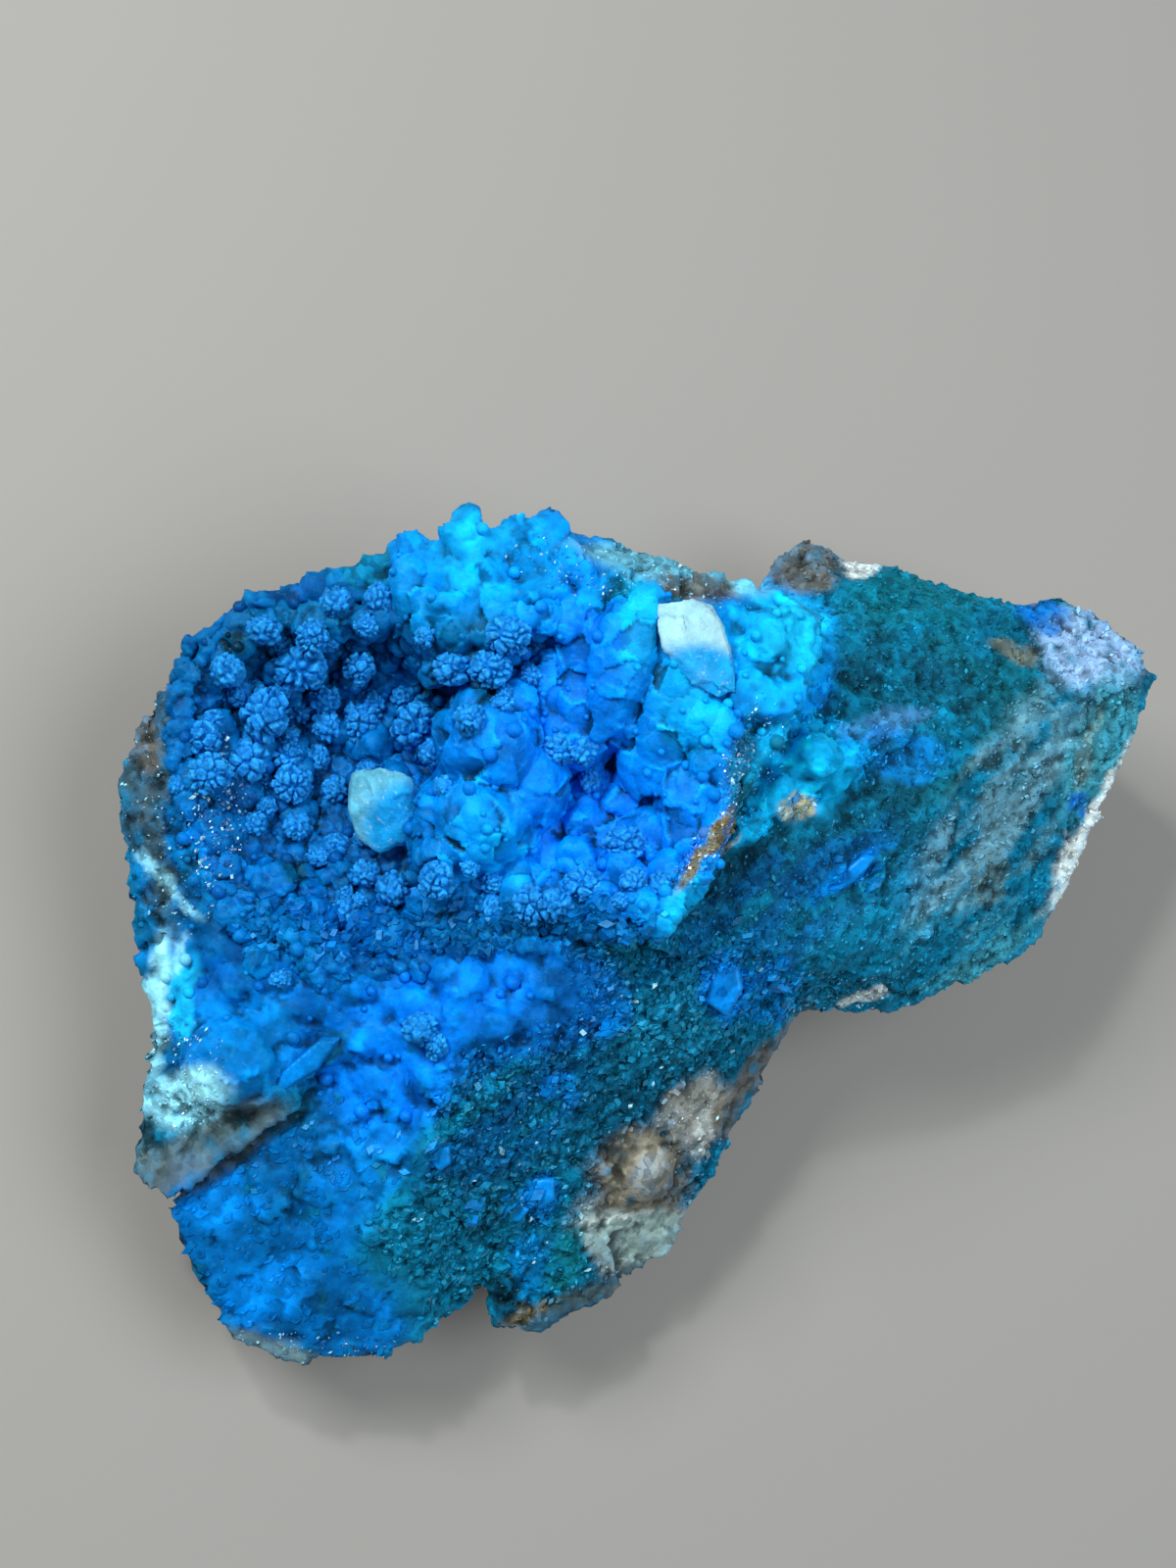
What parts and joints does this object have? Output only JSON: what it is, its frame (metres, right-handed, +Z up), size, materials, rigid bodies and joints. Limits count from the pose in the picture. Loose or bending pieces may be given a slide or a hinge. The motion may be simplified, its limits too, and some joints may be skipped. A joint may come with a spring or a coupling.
{
  "type": "gibbsite specimen",
  "caption": "Hand specimen of blue gibbsite: host rock broken all round, with a hollow lined with botryoidal crystals beside a long drusy side.",
  "frame": {"origin": "on the flat break that the specimen lies on, near the middle of that break", "axes": "+Z up, away from the break; +X along the longest extent, from the hollow's end to the drusy end; +Y toward the far ledge"},
  "size_m": [0.1191, 0.0928, 0.0433],
  "materials": {
    "rock": "rough broken rock under fine teal crystals",
    "vug_crust": "translucent blue botryoids with a satin gloss"
  },
  "bodies": {
    "root": {"rock": "rock", "vug_crust": "vug_crust"}
  },
  "joints": []
}
